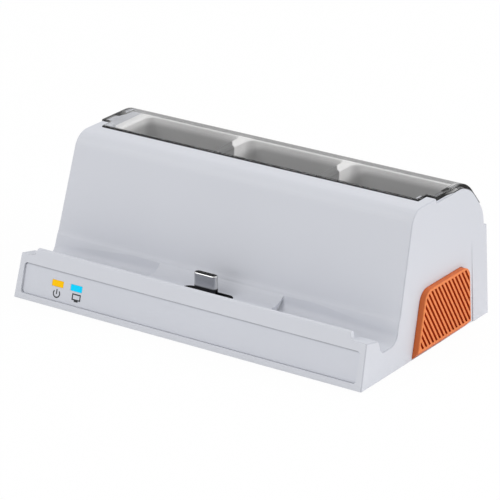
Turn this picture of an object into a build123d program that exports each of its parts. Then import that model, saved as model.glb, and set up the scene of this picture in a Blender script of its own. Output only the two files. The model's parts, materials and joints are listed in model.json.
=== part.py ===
"""Charging dock for a handheld console, with a storage tray under a hinged smoked lid.

The body is drawn with x along its length from the middle, y from the foot of the front face to the back,
and z up from the foot of the walls. export_piece moves every piece so that the origin is on the floor,
under the middle of the dock. All lengths are in millimetres and all angles in degrees.
"""

import os
from math import atan2, cos, radians, sin, tan

from build123d import *

# Overall form
LENGTH = 128.4  # between the end faces at the floor
DEPTH = 73.0  # from the front foot to the rear wall
TOP = 45.8  # top of the white body
END_DRAFT = 2.87  # lean of each end face
WALL = 2.0
FRONT_LEAN = 15.5
BACKREST_LEAN = 16.65
EDGE_BREAK = 0.3  # chamfer round the end faces
REACH = 200.0  # longer than the dock, for cuts that pass right through
OVERLAP = 1.0  # how far a rib or post reaches into the wall it stands on

# Clearances
SEAM = 0.15  # between fixed pieces that fit into each other
RUN = 0.3  # between pieces that move past each other
PIN_PLAY = 0.05  # round a turning pin

# Trough for the console
TROUGH_FLOOR = 11.5
BACKREST_FOOT = 21.07  # y of the backrest's line at the trough floor
TROUGH_FILLET = 6.2
TOP_FILLET = 6.0
LIP_TOP = TROUGH_FLOOR + 4.5
LIP_WALL = 1.7
LIP_HALF = LENGTH / 2 - 6.0  # half length of the lip at the corner lands
LIP_END_LEAN = 17.5
LIP_ROUND = 0.6
LAND_TOP = TROUGH_FLOOR + 2.3  # front edge of the corner lands
LAND_SLOPE = 12.5
LAND_REAR = 10.9
CHANNEL_FLOOR = TROUGH_FLOOR - 2.44  # at the channel's inner end
CHANNEL_FALL = 1.4  # slope of each channel down to its end face
CHANNEL_INNER = 22.8  # x where each channel starts
CHANNEL_FRONT_LEAN = 20.0
CHANNEL_SET = 0.6  # channel's rear wall in front of the backrest's line
CHANNEL_FILLET = 4.0
LAND_ROUND = 2.0

# Lid over the storage
LID_TOP = TOP + 0.6
LID_WALL = 1.3
LID_REAR_WALL = 0.9
LID_FRONT = 39.4
LID_HALF = LENGTH / 2 - 5.9  # half width of the lid's front tab
LID_REAR = DEPTH - 1.95
SHOULDER = LID_FRONT + 4.4  # y where the lid starts beside its tab
LID_BEND = LID_REAR - 9.7  # y where the top and the sloping back would meet
LID_SLOPE = 50.0  # fall of the sloping back
LID_TOP_ROUND = 12.0
LID_REAR_ROUND = 10.0
LID_EDGE = 0.4
END_TOP = TOP - 1.5  # top of the end walls under the lid
END_BEND = LID_REAR - 8.3
END_REAR_BEND = TOP - 11.9
WEB_START = SHOULDER + 0.23 * (LID_REAR - SHOULDER)  # where the lid's end web starts to thicken
WEB_FULL = SHOULDER + 0.46 * (LID_REAR - SHOULDER)
WEB_BOTTOM = TOP - 9.0
UPSTAND_TOP = LID_TOP - LID_WALL - RUN  # rib along the inside of each end wall, under the lid
UPSTAND_SET = 0.7  # rib's face behind the end face
LEDGE = TOP - 17.1  # top of the rear wall
SHELF = LEDGE - 1.0
LID_BOTTOM = LEDGE + 0.9
LID_SEAT = 2.0  # width of the ledge under the lid's front edge

# Lid hinge
HINGE_Y = LID_REAR - 2.7
HINGE_Z = LEDGE + 3.2
HINGE_PIN = 1.0  # radius
KNUCKLE = 2.4  # radius
KNUCKLE_OUTER = LENGTH / 2 - 6.3
KNUCKLE_INNER = KNUCKLE_OUTER - 3.7
HINGE_BLOCK = KNUCKLE_OUTER + RUN  # inner face of the block that holds the pin
HINGE_BLOCK_TOP = HINGE_Z + 3.3
HINGE_BLOCK_FRONT = HINGE_Y - 3.5
PIN_DEPTH = 3.2  # how far the pin goes into the block

# Storage tray
TRAY_TOP = TOP - 3.4
TRAY_FRONT = LID_FRONT + 1.7
TRAY_REAR = DEPTH - 9.1
TRAY_WALL = 1.4
TRAY_BEVEL = 1.2  # along the rear top edge, under the lid's sloping back
TRAY_FLOOR = 21.0
BAY_COUNT = 3
DIVIDER = 3.5
BAY_END = 7.4  # from the foot of an end face to the nearest bay
BAY_LENGTH = (LENGTH - 2 * BAY_END - (BAY_COUNT - 1) * DIVIDER) / BAY_COUNT
BAY_WIDTH = TRAY_REAR - TRAY_FRONT - 2 * TRAY_WALL
BAY_ROUND = 3.0
BAY_FOOT = 1.8  # chamfer round each bay's floor
BAY_RIM = 0.5
FLANGE = 1.5
FLANGE_FRONT = TRAY_FRONT - 5.1
TRAY_LUG = 1.3
TRAY_SCREW_X = 30.0
TRAY_SCREW_Y = TRAY_FRONT - 2.8
TRAY_SCREW_BITE = 2.2

# Front fascia and its lights
FASCIA_HALF = LENGTH / 2 - 2.4
FASCIA_LOW = 1.9  # measured up the front face
FASCIA_HIGH = 11.65
FASCIA_THICK = 0.6
FASCIA_SUNK = 0.7
FASCIA_ROUND = 1.0
WINDOW_LENGTH = 4.3
WINDOW_HEIGHT = 1.95
WINDOW_ROUND = 0.3
WINDOW_RISE = 7.52
POWER_X = 15.6 - LENGTH / 2
DISPLAY_X = POWER_X + 7.2
WINDOW_DEPTH = 3.2  # how far a window reaches behind the front face
LAMP_THICK = 1.3
LAMP_GAP = 0.3
LAMP_LENGTH = 3.0
LAMP_HEIGHT = 1.5
LIGHT_BOARD_LENGTH = 18.0
LIGHT_BOARD_HEIGHT = 5.0
LIGHT_BOARD_RISE = 6.7
LIGHT_BOARD_THICK = 0.8
PEG = 1.1
PEG_SPAN = 15.0

# Orange side pads, drawn on the end face
PAD_FRONT_FOOT = 28.1
PAD_FRONT_TOP = 34.2
PAD_REAR = DEPTH - 13.6
PAD_LOW = 0.3
PAD_HIGH = 20.0
PAD_FRONT_ROUND = 4.5
PAD_REAR_ROUND = 3.0
PAD_PROUD = 2.0
PAD_UNDERCUT = 2.0  # bevel under the pad, so that its face clears the table
PAD_SUNK = 0.8
PAD_EDGE = 0.3
PAD_RIM = 0.6
GROOVE_LEAN = 31.0
GROOVE_PITCH = 1.95  # along y
GROOVE_WIDTH = 0.85
GROOVE_DEPTH = 1.2

# Shallow facet of each end face round its pad, ending in a fine step
FACET_FRONT = 44.0
FACET_STEP = DEPTH - 9.1
FACET_TOP = 27.4
FACET_DEPTH = 0.35

# Plug and its rocking carrier
PLUG_Y = 13.3
PLUG_LENGTH = 8.25
PLUG_THICK = 2.4
PLUG_TIP = TROUGH_FLOOR + 6.55
PLUG_SHEET = 0.3
PLUG_TIP_ROUND = 0.25
LINER_WALL = 0.35
LINER_DROP = 0.4  # liner's mouth below the plug's tip
CONTACT_COUNT = 6
CONTACT_PITCH = 0.9
CONTACT_WIDTH = 0.4
CONTACT_THICK = 0.12
CONTACT_DROP = 0.9
SLOT_LENGTH = 18.2
SLOT_FRONT = PLUG_Y - 2.0
SLOT_REAR = PLUG_Y + 2.9
PIVOT_Z = TROUGH_FLOOR - 3.3
BARREL = 1.75  # radius of the carrier's top
BARREL_HALF = 8.4
CARRIER_LENGTH = 14.0
CARRIER_THICK = 6.0
CARRIER_TOP = PIVOT_Z - 0.8
CARRIER_FOOT = CARRIER_TOP - 3.0
PLUG_FOOT = CARRIER_FOOT + 1.0
LINER_FLOOR = PLUG_FOOT + 3.8
PLUG_BOARD_THICK = 0.8
PIVOT_PIN = 0.7  # radius
EAR_INNER = 11.2
EAR_THICK = 2.0
EAR_THICK_Y = 4.4
EAR_FOOT = PIVOT_Z - 1.8
SLOT_RELIEF = 0.8  # floor thinned from below round the carrier
SPRING_WIRE = 0.5
SPRING_TURNS = 4
WIRE_SIDES = 6  # flats on the drawn wire
SPRING_LEG = 3.2

# Base plate, feet and screws
BASE_THICK = 2.0
FOOT_RADIUS = 4.0
FOOT_THICK = 1.5
FOOT_PROUD = 0.5
FOOT_X = LENGTH / 2 - 14.0
FOOT_FRONT_Y = 12.0
FOOT_REAR_Y = DEPTH - 11.0
POST_RADIUS = 2.5
POST_X = LENGTH / 2 - 6.7
POST_FRONT_Y = 9.5
POST_REAR_Y = DEPTH - 5.4
SCREW_RADIUS = 1.0
SCREW_HEAD = 1.9
SCREW_HEAD_THICK = 0.9
SCREW_LENGTH = 6.0
SCREW_RECESS = 0.3

# Main board and the rear sockets
BOARD_LOW = 6.0
BOARD_THICK = 1.6
BOARD_HALF = LENGTH / 2 - 19.0
BOARD_FRONT = 32.0
BOARD_GAP = 0.4  # board's rear edge to the rear wall
STANDOFF_X = BOARD_HALF - 5.0
STANDOFF_FRONT_Y = BOARD_FRONT + 4.0
STANDOFF_REAR_Y = DEPTH - 18.0
SOCKET_SHEET = 0.4
SOCKET_SUNK = 0.4  # mouth behind the rear face
POWER_SOCKET_X = 34.0
POWER_SOCKET = (8.94, 3.26, 7.3)  # width, height, depth
VIDEO_SOCKET_X = 14.0
VIDEO_SOCKET = (15.0, 5.9, 11.0)
VIDEO_CORNER = 2.2
DATA_SOCKET_XS = (-10.0, -30.0)
DATA_SOCKET = (13.1, 5.7, 14.0)
DATA_ROUND = 0.5
TONGUE_SHORT = 1.0  # tongue's end behind the mouth
TONGUE_SHARES = {  # tongue's width, middle height and thickness as shares of its socket
    "power": (0.74, 0.5, 0.22),
    "video": (0.72, 0.58, 0.26),
    "data": (0.82, 0.66, 0.3),
}
CHIPS = (  # x, y, side, height
    (-12.0, 42.0, 9.0, 1.2), (10.0, 42.0, 7.0, 1.0), (BOARD_HALF - 19.0, 44.0, 5.0, 0.9),
)
CAPACITORS = ((10.0 - BOARD_HALF, 43.0), (15.0 - BOARD_HALF, 43.0), (BOARD_HALF - 11.0, 43.0))
CAPACITOR_RADIUS = 2.0
CAPACITOR_HEIGHT = 5.0


def front_face(z):
    """y of the leaning front face at height z."""
    return z * tan(radians(FRONT_LEAN))


def backrest(z):
    """y of the backrest's line at height z."""
    return BACKREST_FOOT + (z - TROUGH_FLOOR) * tan(radians(BACKREST_LEAN))


def half_length(z):
    """x of the end face at height z."""
    return LENGTH / 2 - z * tan(radians(END_DRAFT))


FRONT = Plane((0, 0, 0), x_dir=(1, 0, 0), z_dir=(0, -cos(radians(FRONT_LEAN)), sin(radians(FRONT_LEAN))))
END = Plane((LENGTH / 2, 0, 0), x_dir=(0, 1, 0), z_dir=(cos(radians(END_DRAFT)), 0, sin(radians(END_DRAFT))))
MOUTH_FRONT = LID_FRONT + LID_SEAT  # front edge of the opening over the storage
HINGE_AXIS = Plane((0, HINGE_Y, HINGE_Z), x_dir=(0, 1, 0), z_dir=(1, 0, 0))
PIVOT_AXIS = Plane((0, PLUG_Y, PIVOT_Z), x_dir=(0, 1, 0), z_dir=(1, 0, 0))


def corners(*points):
    """Closed face through (u, v) or (u, v, radius) corners."""
    face = make_face(Polyline([point[:2] for point in points], close=True))
    for point in points:
        if len(point) == 3:
            corner = face.vertices().sort_by_distance((point[0], point[1], 0))[0]
            face = fillet(corner, point[2])
    return face


def along_x(face, x_low, x_high):
    """Solid with a (y, z) face as its section, from x_low to x_high."""
    return extrude(Plane.YZ.offset(x_low) * face, amount=x_high - x_low)


def block(x, y, z):
    """Box between the pairs of limits x, y and z."""
    size = [high - low for low, high in (x, y, z)]
    middle = [(low + high) / 2 for low, high in (x, y, z)]
    return Pos(*middle) * Box(*size)


def post(x, y, z_low, z_high, radius):
    """Upright cylinder."""
    return Pos(x, y, (z_low + z_high) / 2) * Cylinder(radius, z_high - z_low)


def shaft(axis, x_low, x_high, radius):
    """Cylinder along x on one of the turning axes."""
    return extrude(axis.offset(x_low) * Circle(radius), amount=x_high - x_low)


def both_ends(piece):
    """A piece of the right end together with its mirror image."""
    return piece + mirror(piece, Plane.YZ)


def between_ends(inset):
    """Everything between the leaning end faces, less an inset at each end."""
    low, high = -REACH / 4, REACH / 2
    wide, narrow = half_length(low) - inset, half_length(high) - inset
    face = make_face(Polyline((-wide, low), (wide, low), (narrow, high), (-narrow, high), close=True))
    return extrude(Plane.XZ * face, amount=REACH, both=True)


def across(y, z, inset):
    """Bar between pairs of limits y and z that runs from end face to end face, less an inset at each end."""
    return block((-REACH, REACH), y, z) & between_ends(inset)


def lid_section(top, rear, bend, rear_bend, rounds):
    """Face under a curved back: level to bend, sloping to rear_bend, then upright."""
    return corners(
        (LID_FRONT - REACH / 10, 0), (LID_FRONT - REACH / 10, top), (bend, top, rounds[0]),
        (rear, rear_bend, rounds[1]), (rear, 0),
    )


def lid_rear_bend(top, rear, bend):
    """Height where the sloping back would meet the upright rear."""
    return top - (rear - bend) * tan(radians(LID_SLOPE))


LID_OUTSIDE = lid_section(
    LID_TOP, LID_REAR, LID_BEND, lid_rear_bend(LID_TOP, LID_REAR, LID_BEND), (LID_TOP_ROUND, LID_REAR_ROUND)
)
INSIDE_BEND = LID_BEND - (LID_REAR_WALL / sin(radians(LID_SLOPE)) - LID_WALL / tan(radians(LID_SLOPE)))
LID_INSIDE = lid_section(
    LID_TOP - LID_WALL,
    LID_REAR - LID_REAR_WALL,
    INSIDE_BEND,
    lid_rear_bend(LID_TOP - LID_WALL, LID_REAR - LID_REAR_WALL, INSIDE_BEND),
    (LID_TOP_ROUND - LID_WALL, LID_REAR_ROUND - LID_REAR_WALL),
)


def end_wall(grow):
    """Face under the curved top of an end wall, opened out by grow."""
    slope = atan2(END_TOP - END_REAR_BEND, LID_REAR - END_BEND)
    return lid_section(
        END_TOP + grow, LID_REAR + grow,
        END_BEND + grow * tan(slope / 2), END_REAR_BEND + grow * tan(radians(45) - slope / 2),
        (LID_TOP_ROUND + grow, LID_REAR_ROUND + grow),
    )


def body_section():
    """Section of the body without its lip, from the floor up."""
    front = corners(
        (0, 0), (front_face(TROUGH_FLOOR), TROUGH_FLOOR),
        (BACKREST_FOOT, TROUGH_FLOOR, TROUGH_FILLET), (backrest(TOP), TOP, TOP_FILLET),
        (SHOULDER, TOP), (SHOULDER, 0),
    )
    under_lid = end_wall(0) & corners((SHOULDER, 0), (SHOULDER, TOP), (DEPTH, TOP), (DEPTH, 0))
    rear = corners((SHOULDER, 0), (SHOULDER, LEDGE), (DEPTH, LEDGE), (DEPTH, 0))
    return front + under_lid + rear


def hollow_section():
    """Section of the space inside the body, open at the foot and up to the storage."""
    front_wall = WALL / cos(radians(FRONT_LEAN))
    back_wall = WALL / cos(radians(BACKREST_LEAN))
    low, high = TROUGH_FLOOR - WALL, TOP - WALL
    return corners(
        (front_face(-WALL) + front_wall, -WALL), (front_face(low) + front_wall, low),
        (backrest(low) + back_wall, low, TROUGH_FILLET + WALL),
        (backrest(high) + back_wall, high, TOP_FILLET - WALL),
        (SHOULDER, high), (SHOULDER, LEDGE), (DEPTH - WALL, LEDGE), (DEPTH - WALL, -WALL),
    )


def channel_section(grow):
    """Section of the end channels, opened out by grow."""
    wall_run = (TROUGH_FLOOR - CHANNEL_FLOOR) * tan(radians(CHANNEL_FRONT_LEAN))
    rear_foot = backrest(CHANNEL_FLOOR) - CHANNEL_SET
    high = LIP_TOP
    front_top = LAND_REAR - (high - TROUGH_FLOOR) * tan(radians(CHANNEL_FRONT_LEAN))
    rear_top = backrest(high) - CHANNEL_SET
    return corners(
        (front_top - grow, high), (LAND_REAR + wall_run - grow, CHANNEL_FLOOR - grow, LAND_ROUND),
        (rear_foot + grow, CHANNEL_FLOOR - grow, CHANNEL_FILLET), (rear_top + grow, high),
    )


def make_channels(grow):
    """The two end channels, which fall away towards the end faces, opened out by grow."""
    channel = along_x(channel_section(grow), CHANNEL_INNER - grow, REACH / 2)
    inner_foot = Pos(CHANNEL_INNER, 0, CHANNEL_FLOOR)
    return both_ends(inner_foot * Rot(0, CHANNEL_FALL, 0) * inner_foot.inverse() * channel)


def make_lip():
    """Thin wall along the front of the trough, with leaning ends."""
    foot = TROUGH_FLOOR - OVERLAP
    section = corners(
        (front_face(foot), foot), (front_face(LIP_TOP), LIP_TOP, LIP_ROUND),
        (front_face(LIP_TOP) + LIP_WALL, LIP_TOP, LIP_ROUND), (front_face(foot) + LIP_WALL, foot),
    )
    run = tan(radians(LIP_END_LEAN))
    low, high = LIP_HALF + (LAND_TOP - foot) * run, LIP_HALF - (LIP_TOP - LAND_TOP) * run
    ends = make_face(Polyline((-low, foot), (low, foot), (high, LIP_TOP), (-high, LIP_TOP), close=True))
    return along_x(section, -REACH / 2, REACH / 2) & extrude(Plane.XZ * ends, amount=REACH, both=True)


def make_land():
    """Low land at the right front corner, behind which the channel drops away."""
    foot = TROUGH_FLOOR - OVERLAP
    rear_top = LAND_TOP - (LAND_REAR - front_face(LAND_TOP)) * tan(radians(LAND_SLOPE))
    rear_foot = LAND_REAR + (rear_top - foot) * tan(radians(CHANNEL_FRONT_LEAN))
    section = corners(
        (front_face(foot), foot), (front_face(LAND_TOP), LAND_TOP),
        (LAND_REAR, rear_top, LAND_ROUND), (rear_foot, foot),
    )
    return along_x(section, LIP_HALF - LIP_ROUND, LENGTH)


def fascia_outline(shrink):
    """Outline of the fascia on the front face."""
    rise = (FASCIA_LOW + FASCIA_HIGH) / 2
    return Pos(0, rise) * RectangleRounded(
        2 * (FASCIA_HALF - shrink), FASCIA_HIGH - FASCIA_LOW - 2 * shrink, FASCIA_ROUND
    )


def window(x, grow, back, front):
    """Light window between two depths behind the front face."""
    outline = Pos(x, WINDOW_RISE) * RectangleRounded(
        WINDOW_LENGTH + 2 * grow, WINDOW_HEIGHT + 2 * grow, WINDOW_ROUND
    )
    return extrude(FRONT.offset(-back) * outline, amount=back - front)


def pad_outline(shrink, low):
    """Outline of a side pad on the end face, from a height up."""
    lean = (PAD_FRONT_TOP - PAD_FRONT_FOOT) / (PAD_HIGH - PAD_LOW)
    foot = PAD_FRONT_FOOT + (low - PAD_LOW) * lean
    return corners(
        (foot + shrink * (1 + lean), low + shrink),
        (PAD_FRONT_TOP + shrink * (1 - lean), PAD_HIGH - shrink, PAD_FRONT_ROUND - shrink),
        (PAD_REAR - shrink, PAD_HIGH - shrink, PAD_REAR_ROUND - shrink),
        (PAD_REAR - shrink, low + shrink),
    )


def end_facet():
    """Thin wedge off the right end face, deepest at its rear foot."""
    outline = make_face(Polyline((FACET_FRONT, 0), (FACET_STEP, 0), (FACET_STEP, FACET_TOP), close=True))
    prism = extrude(END * outline, amount=FACET_DEPTH, both=True)
    deep, front, top = ((FACET_STEP, 0, -FACET_DEPTH), (FACET_FRONT, 0, 0), (FACET_STEP, FACET_TOP, 0))
    floor = make_face(Polyline([END.from_local_coords(point) for point in (deep, front, top)], close=True))
    return split(prism, bisect_by=Plane(floor.faces()[0]), keep=Keep.TOP)


def socket_solid(x, size, kind, grow, back, front):
    """Outline of one rear socket, grown all round, between two y limits."""
    width, height = size[0] + 2 * grow, size[1] + 2 * grow
    if kind == "power":
        outline = SlotOverall(width, height)
    elif kind == "data":
        outline = RectangleRounded(width, height, DATA_ROUND)
    else:
        outline = chamfer(Rectangle(width, height).vertices().group_by(Axis.Y)[0], VIDEO_CORNER)
    plane = Plane((x, back, BOARD_LOW + BOARD_THICK + size[1] / 2), x_dir=(-1, 0, 0), z_dir=(0, 1, 0))
    return extrude(plane * outline, amount=front - back)


SOCKETS = [(POWER_SOCKET_X, POWER_SOCKET, "power"), (VIDEO_SOCKET_X, VIDEO_SOCKET, "video")]
SOCKETS += [(x, DATA_SOCKET, "data") for x in DATA_SOCKET_XS]
MOUTH = DEPTH - SOCKET_SUNK


def slot_cut():
    """Slot in the trough floor that the plug stands in."""
    outline = Pos(0, (SLOT_FRONT + SLOT_REAR) / 2) * SlotOverall(SLOT_LENGTH, SLOT_REAR - SLOT_FRONT)
    return extrude(Plane.XY.offset(PIVOT_Z) * outline, amount=TROUGH_FLOOR)


def make_housing():
    """Moulded shell: lip, trough, backrest, end walls and rear wall, open below and under the lid."""
    solid = along_x(body_section(), -REACH / 2, REACH / 2) + make_lip() + both_ends(make_land())
    channels = make_channels(0)
    solid = (solid - channels) & between_ends(0)
    faces = solid.faces().sort_by(Axis.X)
    rims = [edge for face in (faces[0], faces[-1]) for edge in face.edges() if edge.center().Z > EDGE_BREAK]
    seen_rims = [edge for edge in rims if edge.center().Y < SHOULDER - SEAM or edge.center().Y > DEPTH - SEAM]
    solid = chamfer(seen_rims, EDGE_BREAK)

    hollow = along_x(hollow_section(), -REACH / 2, REACH / 2) & between_ends(WALL)
    hollow -= make_channels(WALL)
    solid -= hollow

    mouth_half = LID_HALF - LID_SEAT
    solid -= across((SHOULDER, DEPTH + WALL), (LEDGE, REACH), WALL)
    solid -= block((-mouth_half, mouth_half), (MOUTH_FRONT, DEPTH), (LEDGE, REACH))
    shelf = across((TRAY_REAR + SEAM, DEPTH - OVERLAP), (SHELF - WALL, SHELF), OVERLAP)
    rib = across((LID_FRONT - OVERLAP, MOUTH_FRONT), (TRAY_TOP, TOP - OVERLAP), OVERLAP)
    upstand = across((SHOULDER, WEB_START - RUN), (END_TOP - OVERLAP, UPSTAND_TOP), UPSTAND_SET)
    upstand -= between_ends(WALL)
    solid += shelf + rib + upstand
    seat_half = LID_HALF + RUN
    seat_floor = LID_TOP - LID_WALL - RUN
    solid -= block((-seat_half, seat_half), (LID_FRONT - RUN, SHOULDER), (seat_floor, REACH))

    hinge_foot = SHELF - OVERLAP
    hinge = end_wall(0) & corners(
        (HINGE_BLOCK_FRONT, hinge_foot), (HINGE_BLOCK_FRONT, HINGE_BLOCK_TOP),
        (DEPTH, HINGE_BLOCK_TOP), (DEPTH, hinge_foot),
    )
    solid += both_ends(along_x(hinge, HINGE_BLOCK, half_length(HINGE_Z) - OVERLAP))
    solid -= both_ends(shaft(HINGE_AXIS, HINGE_BLOCK - WALL, HINGE_BLOCK + PIN_DEPTH, HINGE_PIN))

    floor_relief = block(
        (-EAR_INNER - EAR_THICK, EAR_INNER + EAR_THICK), (SLOT_FRONT - WALL, SLOT_REAR + OVERLAP),
        (0, TROUGH_FLOOR - WALL + SLOT_RELIEF),
    )
    ear = block(
        (EAR_INNER, EAR_INNER + EAR_THICK), (PLUG_Y - EAR_THICK_Y / 2, PLUG_Y + EAR_THICK_Y / 2),
        (EAR_FOOT, TROUGH_FLOOR - OVERLAP),
    )
    solid = solid - floor_relief + both_ends(ear) - slot_cut()
    solid -= shaft(PIVOT_AXIS, -EAR_INNER - EAR_THICK, EAR_INNER + EAR_THICK, PIVOT_PIN)

    posts = both_ends(
        post(POST_X, POST_FRONT_Y, BASE_THICK, TROUGH_FLOOR - OVERLAP, POST_RADIUS)
        + post(POST_X, POST_REAR_Y, BASE_THICK, SHELF - OVERLAP, POST_RADIUS)
        + post(TRAY_SCREW_X, TRAY_SCREW_Y, TRAY_TOP, TOP - OVERLAP, POST_RADIUS)
    )
    solid += posts - channels
    bores = both_ends(
        post(POST_X, POST_FRONT_Y, 0, BASE_THICK + SCREW_LENGTH, SCREW_RADIUS)
        + post(POST_X, POST_REAR_Y, 0, BASE_THICK + SCREW_LENGTH, SCREW_RADIUS)
        + post(TRAY_SCREW_X, TRAY_SCREW_Y, 0, TRAY_TOP + TRAY_SCREW_BITE, SCREW_RADIUS)
    )
    solid -= bores

    solid -= extrude(FRONT * fascia_outline(0), amount=-FASCIA_SUNK - FASCIA_THICK)
    for x in (POWER_X, DISPLAY_X):
        solid -= window(x, SEAM / 2, WINDOW_DEPTH, 0)
    peg_back = WINDOW_DEPTH + LAMP_GAP + LAMP_THICK
    for side in (-1, 1):
        peg = Pos((POWER_X + DISPLAY_X) / 2 + side * PEG_SPAN / 2, LIGHT_BOARD_RISE) * Circle(PEG)
        solid += extrude(FRONT.offset(-peg_back) * peg, amount=peg_back - FASCIA_SUNK - OVERLAP)

    solid -= both_ends(end_facet())
    pad_seat = extrude(END.offset(-PAD_SUNK) * pad_outline(-SEAM, PAD_LOW), amount=PAD_PROUD)
    solid -= both_ends(pad_seat)
    for x, size, kind in SOCKETS:
        solid -= socket_solid(x, size, kind, SEAM, DEPTH - 2 * WALL, DEPTH + WALL)
    return solid


def make_base_plate():
    """Bottom cover with board standoffs, foot pockets and screw holes."""
    front = front_face(BASE_THICK) + WALL / cos(radians(FRONT_LEAN)) + SEAM
    plate = across((front, DEPTH - WALL - SEAM), (0, BASE_THICK), WALL + SEAM)
    for x in (-STANDOFF_X, STANDOFF_X):
        for y in (STANDOFF_FRONT_Y, STANDOFF_REAR_Y):
            plate += post(x, y, BASE_THICK / 2, BOARD_LOW, POST_RADIUS)
            plate -= post(x, y, BASE_THICK / 2, BOARD_LOW, SCREW_RADIUS)
    for x in (-POST_X, POST_X):
        for y in (POST_FRONT_Y, POST_REAR_Y):
            plate -= post(x, y, 0, BASE_THICK, SCREW_RADIUS + SEAM)
            plate -= post(x, y, 0, SCREW_RECESS + SCREW_HEAD_THICK, SCREW_HEAD + SEAM)
    for x in (-FOOT_X, FOOT_X):
        for y in (FOOT_FRONT_Y, FOOT_REAR_Y):
            plate -= post(x, y, 0, FOOT_THICK - FOOT_PROUD, FOOT_RADIUS)
    return plate


def make_feet():
    """Four rubber discs in the base plate's pockets."""
    foot = post(0, 0, -FOOT_PROUD, FOOT_THICK - FOOT_PROUD, FOOT_RADIUS)
    foot = chamfer(foot.edges().group_by(Axis.Z)[0], FOOT_PROUD / 2)
    places = [(x, y, 0) for x in (-FOOT_X, FOOT_X) for y in (FOOT_FRONT_Y, FOOT_REAR_Y)]
    return Compound([Pos(*place) * foot for place in places])


def screw(head_z, up):
    """Screw on the z axis with its head down at head_z and its point a length up above that."""
    shank_low = head_z + SCREW_HEAD_THICK
    return post(0, 0, head_z, shank_low, SCREW_HEAD) + post(0, 0, shank_low, head_z + up, SCREW_RADIUS)


def make_base_screws():
    """Four screws that hold the base plate."""
    one = screw(SCREW_RECESS, BASE_THICK + SCREW_LENGTH - SCREW_RECESS)
    places = [(x, y, 0) for x in (-POST_X, POST_X) for y in (POST_FRONT_Y, POST_REAR_Y)]
    return Compound([Pos(*place) * one for place in places])


def make_tray_screws():
    """Two screws that hold the tray's flange up against the body."""
    head_low = TRAY_TOP - FLANGE - SCREW_HEAD_THICK
    one = screw(head_low, SCREW_HEAD_THICK + FLANGE + TRAY_SCREW_BITE)
    return Compound([Pos(x, TRAY_SCREW_Y, 0) * one for x in (-TRAY_SCREW_X, TRAY_SCREW_X)])


def make_board_screws():
    """Four screws that hold the main board, heads up."""
    top = BOARD_LOW + BOARD_THICK
    one = post(0, 0, top, top + SCREW_HEAD_THICK, SCREW_HEAD) + post(0, 0, BASE_THICK, top, SCREW_RADIUS)
    places = [(x, y, 0) for x in (-STANDOFF_X, STANDOFF_X) for y in (STANDOFF_FRONT_Y, STANDOFF_REAR_Y)]
    return Compound([Pos(*place) * one for place in places])


def lid_face(low):
    """Face inside the lid's outer line, from a height up."""
    return LID_OUTSIDE & corners((LID_FRONT, low), (LID_FRONT, REACH), (REACH, REACH), (REACH, low))


def lid_envelope():
    """Everything inside the lid's outer skin, with the front tab cut out and the outer edges rounded."""
    shoulder = SHOULDER + RUN
    beside_tab = block((LID_HALF, REACH), (0, shoulder), (0, REACH))
    solid = along_x(lid_face(LID_BOTTOM), -REACH / 2, REACH / 2) & between_ends(0)
    solid -= both_ends(beside_tab)
    faces = solid.faces().sort_by(Axis.X)
    ends = [
        edge for edge in faces[0].edges() + faces[-1].edges()
        if edge.center().Y > shoulder + SEAM and edge.center().Z > LID_BOTTOM + SEAM
    ]
    top = solid.faces().sort_by(Axis.Z)[-1]
    tab = [edge for edge in top.edges() if edge.center().Y < shoulder + SEAM]
    return fillet(ends + tab, LID_EDGE)


def make_lid():
    """Smoked cover: a curved sheet with thicker end webs over the end walls and a knuckle at each end."""
    sheet = along_x(lid_face(LID_BOTTOM) - LID_INSIDE, -REACH / 2, REACH / 2) & between_ends(WALL + RUN)
    cap = lid_face(WEB_BOTTOM) - end_wall(RUN)
    under = LID_TOP - LID_WALL
    cap -= corners((0, under), (WEB_START, under), (WEB_FULL, END_TOP), (0, END_TOP - WALL))
    solid = sheet + (along_x(cap, -REACH / 2, REACH / 2) & between_ends(0)) - (
        along_x(LID_INSIDE, -REACH / 2, REACH / 2) & between_ends(WALL + RUN)
    )
    notch = block((KNUCKLE_OUTER, REACH), (HINGE_BLOCK_FRONT, REACH), (0, HINGE_BLOCK_TOP + 2 * RUN))
    solid = (solid - both_ends(notch)) & lid_envelope()
    knuckle = shaft(HINGE_AXIS, KNUCKLE_INNER, KNUCKLE_OUTER, KNUCKLE)
    web = block(
        (KNUCKLE_INNER, KNUCKLE_OUTER), (HINGE_Y, LID_REAR - LID_REAR_WALL / 2),
        (HINGE_Z - KNUCKLE / 2, HINGE_Z + KNUCKLE),
    )
    solid += both_ends(knuckle + web) & along_x(LID_OUTSIDE, -REACH, REACH)
    solid -= both_ends(shaft(HINGE_AXIS, KNUCKLE_INNER - WALL, HINGE_BLOCK, HINGE_PIN + PIN_PLAY))
    return solid


def make_hinge_pin(side):
    """Steel pin from an end wall's hinge block through the lid's knuckle."""
    pin = shaft(HINGE_AXIS, KNUCKLE_INNER, HINGE_BLOCK + PIN_DEPTH, HINGE_PIN)
    return pin if side > 0 else mirror(pin, Plane.YZ)


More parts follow.
